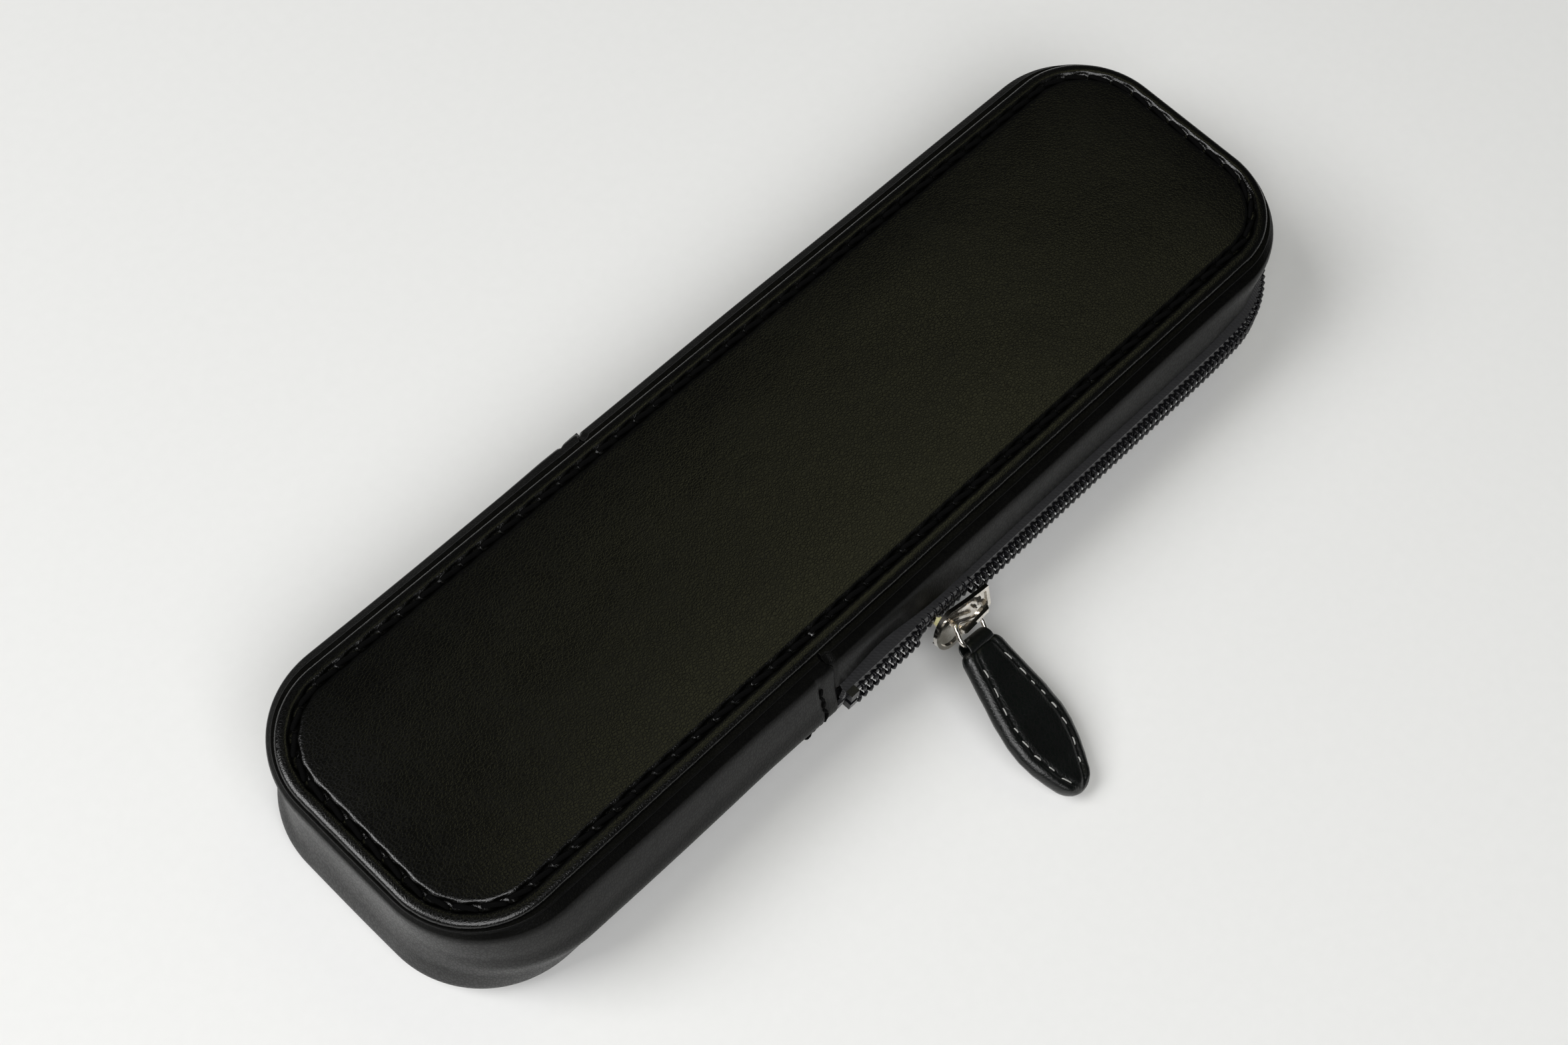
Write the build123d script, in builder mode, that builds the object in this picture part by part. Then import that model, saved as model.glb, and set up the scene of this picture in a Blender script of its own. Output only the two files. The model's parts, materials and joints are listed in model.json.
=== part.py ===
from build123d import *
import os
from math import atan2, cos, degrees, radians, sin, tan

# A zipped leather case for two fountain pens. The zip runs from the front, round the right-hand end and
# along the back, and the lid folds up about the two places where the zip ends. Millimetres, +Z up, origin
# at the middle of the underside, +X towards the end that opens, -Y towards the side with the slider.

# Whole case
LENGTH = 175.0  # top and bottom leathers
WIDTH = 46.0
HEIGHT = 25.0
CORNER = 13.7
MIDDLE = HEIGHT / 2

# Bulge of the side wall past the panels' edge: height, at the ends, at the long sides. The upper half
# mirrors the lower.
BULGE = [
    (1.4, 0.2, 0.9),
    (2.0, 0.5, 1.9),
    (3.0, 0.8, 2.6),
    (6.0, 0.6, 3.3),
    (9.25, 0.3, 4.0),
    (12.5, 0.2, 5.0),
]

# Layers
PANEL_LEATHER = 1.4
WALL_LEATHER = 1.2
BOARD = 1.0
LINING = 0.5
STIFFENER = 0.6
TAPE = 0.6
FLANGE = 5.0  # how far the wall leather turns in over the boards
BOARD_PLAY = 0.2
LINING_PLAN = (170.6, 44.2, 12.0)  # length, width and corner radius of the flat linings

# Seam round the panels
SEAM_INSET = 2.6
SEAM_GROOVE = 0.9
SEAM_DEPTH = 0.6
STITCH_PITCH = 3.8
STITCH = (2.8, 0.5, 0.4)
GUSSET_SEAM = 2.6  # from the gusset's turned edge
GUSSET_STITCH = (0.5, 0.5, 1.5)
GUSSET_STITCH_PITCH = 2.1
GUSSET_LEAN = 0.08  # the seam bows towards the zip by this share of its height
TURNED_EDGE = 4.0
TURNED_RISE = 0.5
TURNED_FOOT = 3.5

# Zip
ZIP_OPENING = 6.5  # between the upper and lower leather strips
ZIP_END = -21.0
ROW_GAP = 1.0
ROW_HEIGHT = 1.6
ROW_DEPTH = 1.5
# Outer face of the lower tape, as for BULGE; the coil stands on its upper edge
TAPE_FACE = [
    (5.0, -0.57, 1.83),
    (6.0, -0.63, 2.06),
    (9.5, -0.95, 2.75),
    (10.4, -0.4, 4.6),
    (12.0, -0.3, 4.7),
]
TAPE_BOTTOM = 5.0
STOP = (1.6, 1.2)
STOP_GAP = 1.2
STRIP_LINING_INSET = 2.0

# Fold of the lid
FOLD_ANGLE = 40.0
FOLD_CLEARANCE = 0.3
FOLD_SLOPE = FOLD_ANGLE / 2 + 0.25
FOLD_REACH = 14.0
FOLD_FOOT = 0.6  # the fold piece starts this far above the zip's end

# Slider, in its own plane: x along the zip, y up the wall, z outwards
SLIDER_AT = (1.75, -30.4, MIDDLE)
SLIDER_TILT = 18.0
NARROW_END, NARROW_HALF = 5.8, 2.1
WAIST = (1.8, 2.7)  # along, half width
WIDE_END, WIDE_HALF, WIDEST = -5.7, 3.6, -2.1
PLATE = 0.4
RIM = 0.3
RIM_WIDTH = 0.6
FLANGE_DEPTH = 1.4
FLANGE_TOP = 2.45
BACK_PLATE = (9.4, 5.4, 0.7)
BACK_PLATE_Y = -24.7
WEDGE = (1.6, 0.5)
BRIDGE_HALF = 0.32
BRIDGE_THICK = 0.6
BRIDGE_RISE = 2.7
BRIDGE_ENDS = (-2.0, 5.0)
SPRING = [(2.55, 0.4), (3.05, 0.4), (3.05, 0.6), (2.8, 0.7), (2.8, 1.0), (2.55, 1.0)]
SPRING_HALF = 0.2

# Pull ring and leather pull
WIRE = 0.36
RING_PLACE = (0.3, 0, 1.15)  # where the wire passes under the bridge, in the slider's plane
RING_TURN = (30.0, 20.0, -22.0)  # roll about its own length, dip, swing
RING_HALF = 3.0
RING_LENGTH = 3.6
RING_CORNER = 1.2
TAB_TURN = (13.0, 21.2, -5.0)
TAB_THICK = 2.8
TAB_SIDE = [(1.5, 4.0), (7.5, 5.0), (14.7, 6.1), (20.0, 5.0), (25.6, 2.1)]  # along, half width
TAB_TIP = 26.6
CORE = 0.8
CORE_INSET = 1.8
LOOP_HALF = 1.5
LOOP_HOLE = 1.05
TAB_STITCH = (1.6, 0.4, 0.3)
TAB_STITCH_INSET = 1.4
TAB_STITCH_FROM = 3.3
TAB_STITCH_PITCH = 3.0
TAB_STITCHES = 7

# Pen divider
DIVIDER_LENGTH = 150.0
DIVIDER_THICK = 1.6
DIVIDER_TOP = 21.4
DIVIDER_FOOT = 9.0
DIVIDER_FOOT_THICK = 0.8

LEATHER = Color(0.05, 0.05, 0.045)
SUEDE = Color(0.3, 0.27, 0.24)
CARD = Color(0.6, 0.55, 0.45)
THREAD = Color(0.16, 0.16, 0.16)
NYLON = Color(0.1, 0.1, 0.12)
NICKEL = Color(0.8, 0.8, 0.8)
WHITE = Color(0.85, 0.85, 0.82)

os.makedirs("parts", exist_ok=True)


def save(piece, name, colour):
    """Label, colour and write one finished piece."""
    piece.part.label = name
    piece.part.color = colour
    export_step(piece.part, f"parts/{name}.step")


# ---- shapes that the layers share ----


def bulge_at(profile, z):
    """End and side bulge at height z, in straight steps between the profile's rows."""
    z = min(max(z, profile[0][0]), profile[-1][0])
    for (z0, end0, side0), (z1, end1, side1) in zip(profile, profile[1:]):
        if z <= z1:
            share = (z - z0) / (z1 - z0)
            return end0 + share * (end1 - end0), side0 + share * (side1 - side0)


def bulged(profile, inset, low, high, mode=Mode.ADD):
    """Loft the case's plan, bulged by the profile and drawn in by inset, between two heights."""
    rows = [row[0] for row in profile] + [HEIGHT - row[0] for row in profile]
    sections = []
    for z in sorted({low, high} | {z for z in rows if low < z < high}):
        end, side = bulge_at(profile, min(z, HEIGHT - z))
        with BuildSketch(Plane.XY.offset(z)) as section:
            RectangleRounded(LENGTH + 2 * (end - inset), WIDTH + 2 * (side - inset), CORNER + side - inset)
        sections.append(section.sketch)
    loft(sections, ruled=True, mode=mode)


def plan(inset, low, high, mode=Mode.ADD):
    """Extrude the panels' outline, drawn in by inset, between two heights."""
    with BuildSketch(Plane.XY.offset(low)) as outline:
        RectangleRounded(LENGTH - 2 * inset, WIDTH - 2 * inset, CORNER - inset)
    extrude(outline.sketch, amount=high - low, mode=mode)


def keep_side_view(points):
    """Keep only what lies inside a side-view outline, right across the case."""
    with BuildSketch(Plane.XZ.offset(-WIDTH)) as view:
        with BuildLine():
            Polyline(*points, close=True)
        make_face()
    extrude(view.sketch, amount=2 * WIDTH, mode=Mode.INTERSECT)


# Side-view outlines of the lengths that the case is cut into
LEAN = FOLD_REACH * tan(radians(FOLD_SLOPE))
LEFT = ZIP_END - FOLD_CLEARANCE
RIGHT = ZIP_END + FOLD_CLEARANCE
TOP = MIDDLE + FOLD_REACH
FIXED = [(-LENGTH, -1), (LEFT, -1), (LEFT, MIDDLE), (LEFT - LEAN, TOP), (-LENGTH, TOP)]
FOOT_LEAN = FOLD_FOOT * tan(radians(FOLD_SLOPE))
FOLD = [
    (LEFT - FOOT_LEAN, MIDDLE + FOLD_FOOT),
    (RIGHT + FOOT_LEAN - 0.1, MIDDLE + FOLD_FOOT),
    (RIGHT + LEAN - 0.1, TOP),
    (LEFT - LEAN, TOP),
]
LID = [(RIGHT, MIDDLE), (LENGTH, MIDDLE), (LENGTH, TOP), (RIGHT + LEAN, TOP)]
BASE = [(LEFT, -1), (LENGTH, -1), (LENGTH, MIDDLE), (LEFT, MIDDLE)]


def wall(inset, thickness, low, high):
    """One layer of the side wall, all round the case."""
    bulged(BULGE, inset, low, high)
    bulged(BULGE, inset + thickness, low, high, Mode.SUBTRACT)


def leather_wall(low, high):
    """The leather layer of the wall, with the flanges that turn in over the boards."""
    bulged(BULGE, 0, low, high)
    inside = PANEL_LEATHER + BOARD
    bulged(BULGE, WALL_LEATHER, max(low, inside), min(high, HEIGHT - inside), Mode.SUBTRACT)
    plan(FLANGE, low, high, Mode.SUBTRACT)


def panel(low, groove):
    """A panel leather with the sunk groove for its seam."""
    plan(0, low, low + PANEL_LEATHER)
    with BuildSketch(Plane.XY.offset(groove)) as track:
        for edge, mode in ((-0.5, Mode.ADD), (0.5, Mode.SUBTRACT)):
            inset = SEAM_INSET + edge * SEAM_GROOVE
            RectangleRounded(LENGTH - 2 * inset, WIDTH - 2 * inset, CORNER - inset, mode=mode)
    extrude(track.sketch, amount=SEAM_DEPTH, mode=Mode.SUBTRACT)


def seam_stitches(z, wanted):
    """The separate stitches of a panel's seam whose x passes the test wanted."""
    with BuildSketch() as track:
        RectangleRounded(LENGTH - 2 * SEAM_INSET, WIDTH - 2 * SEAM_INSET, CORNER - SEAM_INSET)
    seam = track.sketch.face().outer_wire()
    count = round(seam.length / STITCH_PITCH)
    places = []
    for number in range(count):
        along = seam.length * number / count
        at = seam.position_at(along, position_mode=PositionMode.LENGTH)
        way = seam.tangent_at(along, position_mode=PositionMode.LENGTH)
        if wanted(at.X):
            places.append(Location((at.X, at.Y, z), (0, 0, degrees(atan2(way.Y, way.X)))))
    with Locations(*places):
        Box(*STITCH)


def flat_lining(low):
    """The lining sheet inside a panel."""
    with BuildSketch(Plane.XY.offset(low)) as outline:
        RectangleRounded(*LINING_PLAN)
    extrude(outline.sketch, amount=LINING)


# ---- bottom ----

INSIDE_LOW = PANEL_LEATHER + BOARD
INSIDE_HIGH = HEIGHT - INSIDE_LOW

with BuildPart() as bottom_leather:
    panel(0, 0)
save(bottom_leather, "bottom_leather", LEATHER)

with BuildPart() as bottom_board:
    plan(FLANGE + BOARD_PLAY, PANEL_LEATHER, INSIDE_LOW)
save(bottom_board, "bottom_board", CARD)

with BuildPart() as bottom_lining:
    flat_lining(INSIDE_LOW)
save(bottom_lining, "bottom_lining", SUEDE)

with BuildPart() as bottom_seam_thread:
    seam_stitches(SEAM_DEPTH - STITCH[2] / 2, lambda x: True)
save(bottom_seam_thread, "bottom_seam_thread", THREAD)

# ---- top, in its fixed, folding and opening lengths ----


def top_length(name, outline):
    """The top leather, board and lining between the limits of one side-view outline."""
    with BuildPart() as leather:
        panel(HEIGHT - PANEL_LEATHER, HEIGHT - SEAM_DEPTH)
        keep_side_view(outline)
    save(leather, f"top_leather_{name}", LEATHER)
    with BuildPart() as board:
        plan(FLANGE + BOARD_PLAY, INSIDE_HIGH, HEIGHT - PANEL_LEATHER)
        keep_side_view(outline)
    save(board, f"top_board_{name}", CARD)
    with BuildPart() as lining:
        flat_lining(INSIDE_HIGH - LINING)
        keep_side_view(outline)
    save(lining, f"top_lining_{name}", SUEDE)


top_length("fixed", FIXED)
top_length("lid", LID)

fold_edge = (HEIGHT - MIDDLE) * tan(radians(FOLD_SLOPE)) + STITCH[0] / 2

with BuildPart() as top_seam_thread_fixed:
    seam_stitches(HEIGHT - SEAM_DEPTH + STITCH[2] / 2, lambda x: x < LEFT - fold_edge)
save(top_seam_thread_fixed, "top_seam_thread_fixed", THREAD)

with BuildPart() as top_seam_thread_lid:
    seam_stitches(HEIGHT - SEAM_DEPTH + STITCH[2] / 2, lambda x: x > RIGHT + fold_edge)
save(top_seam_thread_lid, "top_seam_thread_lid", THREAD)

with BuildPart() as fold_leather:
    leather_wall(MIDDLE, HEIGHT - PANEL_LEATHER)
    plan(0, HEIGHT - PANEL_LEATHER, HEIGHT)
    keep_side_view(FOLD)
save(fold_leather, "fold_leather", LEATHER)

# ---- side wall of the fixed end ----

with BuildPart() as hinge_gusset:
    bulged(BULGE, -TURNED_RISE, TURNED_FOOT, HEIGHT - TURNED_FOOT)
    keep_side_view([(LEFT - TURNED_EDGE, 0), (LEFT, 0), (LEFT, HEIGHT), (LEFT - TURNED_EDGE, HEIGHT)])
    leather_wall(PANEL_LEATHER, HEIGHT - PANEL_LEATHER)
    keep_side_view(FIXED)
save(hinge_gusset, "hinge_gusset", LEATHER)

with BuildPart() as hinge_gusset_stiffener:
    wall(WALL_LEATHER, STIFFENER, INSIDE_LOW, INSIDE_HIGH)
    keep_side_view(FIXED)
save(hinge_gusset_stiffener, "hinge_gusset_stiffener", CARD)

with BuildPart() as hinge_gusset_lining:
    wall(WALL_LEATHER + STIFFENER, LINING, INSIDE_LOW, INSIDE_HIGH)
    keep_side_view(FIXED)
save(hinge_gusset_lining, "hinge_gusset_lining", SUEDE)

with BuildPart() as gusset_end_threads:
    count = round((HEIGHT - 2 * TURNED_FOOT) / GUSSET_STITCH_PITCH) - 1
    for side in (-1, 1):
        for number in range(count):
            z = MIDDLE + (number - (count - 1) / 2) * GUSSET_STITCH_PITCH
            y = WIDTH / 2 + bulge_at(BULGE, min(z, HEIGHT - z))[1] + TURNED_RISE
            with Locations((LEFT - GUSSET_SEAM - abs(z - MIDDLE) * GUSSET_LEAN, side * y, z)):
                Box(*GUSSET_STITCH)
save(gusset_end_threads, "gusset_end_threads", THREAD)

# ---- side wall along the zip, and the two halves of the zip ----

COIL_START = ZIP_END + STOP_GAP + STOP[0] + 0.2
STRIP_EDGE = MIDDLE - ZIP_OPENING / 2
ROW_LOW = MIDDLE - ROW_GAP / 2 - ROW_HEIGHT
ROW_HIGH = MIDDLE - ROW_GAP / 2


def zip_side(name, outline, span):
    """The leather strip, its lining, the tape, the coil row and the end stops of one half of the zip."""
    with BuildPart() as strip:
        leather_wall(*span(PANEL_LEATHER, STRIP_EDGE))
        keep_side_view(outline)
    save(strip, f"zip_strip_{name}", LEATHER)
    with BuildPart() as lining:
        wall(STRIP_LINING_INSET, LINING, *span(INSIDE_LOW, STRIP_EDGE - 0.1))
        keep_side_view(outline)
    save(lining, f"zip_strip_lining_{name}", SUEDE)
    with BuildPart() as tape:
        bulged(TAPE_FACE, 0, *span(TAPE_BOTTOM, ROW_HIGH))
        bulged(TAPE_FACE, TAPE, *span(TAPE_BOTTOM, ROW_HIGH), Mode.SUBTRACT)
        keep_side_view(outline)
    save(tape, f"zip_tape_{name}", NYLON)
    with BuildPart() as coil:
        bulged(TAPE_FACE, -ROW_DEPTH, *span(ROW_LOW, ROW_HIGH))
        bulged(TAPE_FACE, 0, *span(ROW_LOW, ROW_HIGH), Mode.SUBTRACT)
        keep_side_view([(COIL_START, 0), (LENGTH, 0), (LENGTH, HEIGHT), (COIL_START, HEIGHT)])
    save(coil, f"zip_coil_{name}", NYLON)
    with BuildPart() as stops:
        bulged(TAPE_FACE, -STOP[1], *span(ROW_LOW, ROW_HIGH))
        bulged(TAPE_FACE, 0, *span(ROW_LOW, ROW_HIGH), Mode.SUBTRACT)
        start = ZIP_END + STOP_GAP
        keep_side_view([(start, 0), (start + STOP[0], 0), (start + STOP[0], HEIGHT), (start, HEIGHT)])
    save(stops, f"zip_stops_{name}", NYLON)


zip_side("lower", BASE, lambda low, high: (low, high))
zip_side("upper", LID, lambda low, high: (HEIGHT - high, HEIGHT - low))

# ---- pen divider ----

with BuildPart() as pen_divider:
    with BuildSketch(Plane.YZ.offset(-DIVIDER_LENGTH / 2)):
        foot = INSIDE_LOW + LINING
        with Locations((0, foot + DIVIDER_FOOT_THICK / 2)):
            Rectangle(DIVIDER_FOOT, DIVIDER_FOOT_THICK)
        with Locations((0, (foot + DIVIDER_TOP) / 2)):
            Rectangle(DIVIDER_THICK, DIVIDER_TOP - foot)
    extrude(amount=DIVIDER_LENGTH)
    fillet(edges().filter_by(Axis.X).group_by(Axis.Z)[-1], DIVIDER_THICK / 2 - 0.05)
save(pen_divider, "pen_divider", SUEDE)

# ---- slider ----

tilt = radians(SLIDER_TILT)
SLIDER_PLANE = Plane(SLIDER_AT, x_dir=(1, 0, 0), z_dir=(0, -cos(tilt), sin(tilt)))
BRIDGE_PLANE = Plane(SLIDER_AT, x_dir=(1, 0, 0), z_dir=(0, -sin(tilt), -cos(tilt)))

# The heart shape of the slider's face, narrow towards the closed chain
with BuildSketch() as heart:
    with BuildLine():
        Line((NARROW_END, -NARROW_HALF), (NARROW_END, NARROW_HALF))
        for side in (1, -1):
            ThreePointArc(
                (NARROW_END, side * NARROW_HALF),
                (WAIST[0], side * WAIST[1]),
                (WIDEST, side * WIDE_HALF),
            )
        ThreePointArc((WIDEST, WIDE_HALF), (WIDE_END, 0), (WIDEST, -WIDE_HALF))
    make_face()
with BuildSketch() as heart_hollow:
    add(heart.sketch)
    offset(amount=-RIM_WIDTH)

with BuildPart() as slider_body:
    with BuildSketch(SLIDER_PLANE.offset(-FLANGE_DEPTH)):
        add(heart.sketch)
    extrude(amount=FLANGE_DEPTH + PLATE + RIM)
    with BuildSketch(SLIDER_PLANE.offset(PLATE)):
        add(heart_hollow.sketch)
    extrude(amount=RIM, mode=Mode.SUBTRACT)
    with BuildSketch(SLIDER_PLANE.offset(-FLANGE_DEPTH)):
        add(heart_hollow.sketch)
        with Locations((0, WIDE_HALF - FLANGE_TOP)):
            Rectangle(3 * NARROW_END, 2 * WIDE_HALF)
    extrude(amount=FLANGE_DEPTH, mode=Mode.SUBTRACT)
    with BuildSketch(Plane.XZ.offset(-BACK_PLATE_Y)):
        with Locations((SLIDER_AT[0], MIDDLE)):
            RectangleRounded(*BACK_PLATE[:2], 1.5)
    extrude(amount=-BACK_PLATE[2])
    with BuildSketch(Plane.XZ.offset(-BACK_PLATE_Y)):
        with Locations((SLIDER_AT[0] + WIDEST - WEDGE[0] / 2, MIDDLE)):
            Rectangle(*WEDGE)
    extrude(amount=BACK_PLATE_Y - SLIDER_AT[1] + PLATE / 2)
save(slider_body, "slider_body", NICKEL)

with BuildPart() as slider_bridge:
    with BuildSketch(BRIDGE_PLANE):
        start, stop = BRIDGE_ENDS
        for inset, mode in ((0, Mode.ADD), (BRIDGE_THICK, Mode.SUBTRACT)):
            top = BRIDGE_RISE - inset
            with BuildLine():
                foot = (start + inset, PLATE)
                FilletPolyline(
                    foot,
                    (start + inset + 0.3, top),
                    (stop - inset - 1.4, top - 0.2),
                    (stop - inset, PLATE),
                    foot,
                    radius=0.5,
                )
            make_face(mode=mode)
    extrude(amount=BRIDGE_HALF, both=True)
save(slider_bridge, "slider_bridge", NICKEL)

with BuildPart() as slider_lock_spring:
    with BuildSketch(BRIDGE_PLANE):
        with BuildLine():
            Polyline(*SPRING, close=True)
        make_face()
    extrude(amount=SPRING_HALF, both=True)
save(slider_lock_spring, "slider_lock_spring", NICKEL)

# ---- pull ring ----


def hanging_plane(origin, turn):
    """A plane whose y runs out and down from origin and whose x runs across, for a roll, dip and swing."""
    roll, dip, swing = (radians(angle) for angle in turn)
    along = Vector(sin(swing) * cos(dip), -cos(swing) * cos(dip), -sin(dip))
    level = Vector(0, 0, 1).cross(along).normalized()
    up = along.cross(level)
    across = level * cos(roll) - up * sin(roll)
    return Plane(origin, x_dir=across, z_dir=across.cross(along))


RING_PLANE = hanging_plane(SLIDER_PLANE.from_local_coords(RING_PLACE), RING_TURN)
BAR_AT = RING_PLANE.from_local_coords((0, RING_LENGTH, 0))
TAB_PLANE = hanging_plane(BAR_AT, TAB_TURN)

with BuildPart() as pull_ring:
    with BuildLine(RING_PLANE) as loop:
        corners = [(RING_HALF, 0), (RING_HALF, RING_LENGTH), (-RING_HALF, RING_LENGTH), (-RING_HALF, 0)]
        FilletPolyline(*corners, radius=RING_CORNER, close=True)
    centreline = loop.wire()
    with BuildSketch(Plane(centreline @ 0, z_dir=centreline % 0)):
        Circle(WIRE)
    sweep(path=centreline)
save(pull_ring, "pull_ring", NICKEL)

# ---- leather pull ----


def tab_half_width(along):
    """Half the pull's width at a distance from the ring's bar."""
    for (a0, w0), (a1, w1) in zip(TAB_SIDE, TAB_SIDE[1:]):
        if along <= a1:
            return w0 + (w1 - w0) * (along - a0) / (a1 - a0)


with BuildSketch() as leaf:
    with BuildLine():
        Line((-TAB_SIDE[0][1], TAB_SIDE[0][0]), (TAB_SIDE[0][1], TAB_SIDE[0][0]))
        for side in (1, -1):
            for first in (0, 2):
                ThreePointArc(*[(side * half, along) for along, half in TAB_SIDE[first : first + 3]])
        ThreePointArc((TAB_SIDE[-1][1], TAB_SIDE[-1][0]), (0, TAB_TIP), (-TAB_SIDE[-1][1], TAB_SIDE[-1][0]))
    make_face()
with BuildSketch() as leaf_core:
    add(leaf.sketch)
    offset(amount=-CORE_INSET)

with BuildPart() as pull_tab_core:
    with BuildSketch(TAB_PLANE.offset(-CORE / 2)):
        add(leaf_core.sketch)
    extrude(amount=CORE)
save(pull_tab_core, "pull_tab_core", CARD)

with BuildPart() as pull_tab_leather:
    with BuildSketch(TAB_PLANE.offset(-TAB_THICK / 2)):
        add(leaf.sketch)
    extrude(amount=TAB_THICK)
    loop_plane = Plane(TAB_PLANE.origin, x_dir=TAB_PLANE.y_dir, z_dir=TAB_PLANE.x_dir)
    with BuildSketch(loop_plane.offset(-LOOP_HALF)):
        Circle(TAB_THICK / 2 + 0.15)
        with Locations((TAB_SIDE[0][0] / 2, 0)):
            Rectangle(TAB_SIDE[0][0] + 0.2, TAB_THICK)
        Circle(LOOP_HOLE, mode=Mode.SUBTRACT)
    extrude(amount=2 * LOOP_HALF)
    with BuildSketch(TAB_PLANE.offset(-CORE / 2)):
        add(leaf_core.sketch)
    extrude(amount=CORE, mode=Mode.SUBTRACT)
save(pull_tab_leather, "pull_tab_leather", LEATHER)

with BuildPart() as pull_tab_stitching:
    for face in (-1, 1):
        for side in (-1, 1):
            for number in range(TAB_STITCHES):
                along = TAB_STITCH_FROM + number * TAB_STITCH_PITCH
                across = side * (tab_half_width(along) - TAB_STITCH_INSET)
                at = TAB_PLANE * Location((across, along, face * (TAB_THICK / 2 - 0.05)))
                with Locations(at):
                    Box(TAB_STITCH[1], TAB_STITCH[0], TAB_STITCH[2])
save(pull_tab_stitching, "pull_tab_stitching", WHITE)

# Joint axes and places, for the record
for name, plane in (("ring", RING_PLANE), ("tab", TAB_PLANE)):
    print(name, "at", plane.origin, "across", plane.x_dir, "along", plane.y_dir)
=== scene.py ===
import json
import math

import bmesh
import bpy
import numpy as np
from mathutils import Matrix, Vector


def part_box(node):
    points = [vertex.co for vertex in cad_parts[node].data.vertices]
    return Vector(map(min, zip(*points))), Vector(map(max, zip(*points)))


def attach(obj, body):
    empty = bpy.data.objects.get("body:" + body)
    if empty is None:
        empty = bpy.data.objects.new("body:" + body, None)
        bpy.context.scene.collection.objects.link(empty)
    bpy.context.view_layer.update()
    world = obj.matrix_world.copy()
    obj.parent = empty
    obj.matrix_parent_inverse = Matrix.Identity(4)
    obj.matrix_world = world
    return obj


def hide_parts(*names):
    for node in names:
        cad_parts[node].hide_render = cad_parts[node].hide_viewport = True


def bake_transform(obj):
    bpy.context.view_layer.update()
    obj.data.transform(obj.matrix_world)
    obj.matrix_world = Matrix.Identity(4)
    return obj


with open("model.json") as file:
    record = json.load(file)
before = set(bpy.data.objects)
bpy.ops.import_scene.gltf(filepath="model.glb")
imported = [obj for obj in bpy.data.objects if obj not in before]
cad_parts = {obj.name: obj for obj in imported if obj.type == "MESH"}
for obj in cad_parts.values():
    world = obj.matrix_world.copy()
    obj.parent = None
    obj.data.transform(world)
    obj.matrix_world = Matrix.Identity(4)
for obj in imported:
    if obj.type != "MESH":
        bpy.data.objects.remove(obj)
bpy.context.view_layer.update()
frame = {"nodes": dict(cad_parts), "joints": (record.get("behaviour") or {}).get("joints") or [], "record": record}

# Shapes are worked out in millimetres and written to the meshes in metres.
MM = 0.001


def millimetres(corners):
    """A pair of corners in metres as a pair of arrays in millimetres."""
    return [np.array(corner) / MM for corner in corners]


def joint_place(name):
    """A joint's point in millimetres."""
    return next(np.array(j["pos_m"]) / MM for j in frame["joints"] if j["name"] == name)


# ---- driving dimensions, from the frame ----

PANEL_LOW, PANEL_HIGH = millimetres(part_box("bottom_leather"))
LENGTH, WIDTH, PANEL_LEATHER = PANEL_HIGH - PANEL_LOW
HEIGHT = millimetres(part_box("top_leather_lid"))[1][2]
MIDDLE = HEIGHT / 2
FOLD_X = joint_place("lid_fold")[0]
GUSSET_EDGE = millimetres(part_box("hinge_gusset"))[1][0]
STRIP_TOP = millimetres(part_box("zip_strip_lower"))[1][2]
COIL_BOX_LOW, COIL_BOX_HIGH = millimetres(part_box("zip_coil_lower"))
COIL_START, COIL_LOW = COIL_BOX_LOW[0], COIL_BOX_LOW[2]
COIL_HIGH = COIL_BOX_HIGH[2]
COIL_END_BULGE = COIL_BOX_HIGH[0] - LENGTH / 2
COIL_SIDE_BULGE = COIL_BOX_HIGH[1] - WIDTH / 2
SLIDER_START, SLIDER_END = (corner[0] for corner in millimetres(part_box("slider_body")))

# ---- driving dimensions of the leather skins ----

CORNER = 13.7  # radius of the panels' corners

# Bulge of the side wall: height, at the ends, at the long sides; the upper half mirrors the lower
BULGE = np.array(
    [(1.4, 0.2, 0.9), (2.0, 0.5, 1.9), (3.0, 0.8, 2.6), (6.0, 0.6, 3.3), (9.25, 0.3, 4.0), (12.5, 0.2, 5.0)]
)
BULGE_SMOOTHING = 0.7

WALL_LEATHER = 1.2
SEAM_INSET = 2.6  # from a panel's edge
STITCH_PITCH = 3.75
COIL_PITCH = 1.24


# ---- levels of the case ----

# Steps round a corner, steps across an end, and the length of a step along the sides
ARC_STEPS, SHORT_STEPS, STEP = 30, 26, 0.55
# Next to a cut the steps start short, at these distances from it
EDGE_STEPS = (0.0, 0.06, 0.18, 0.36, 0.6, 0.9, 1.3, 1.8, 2.3)
SMALLEST_CORNER = 0.02


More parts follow.
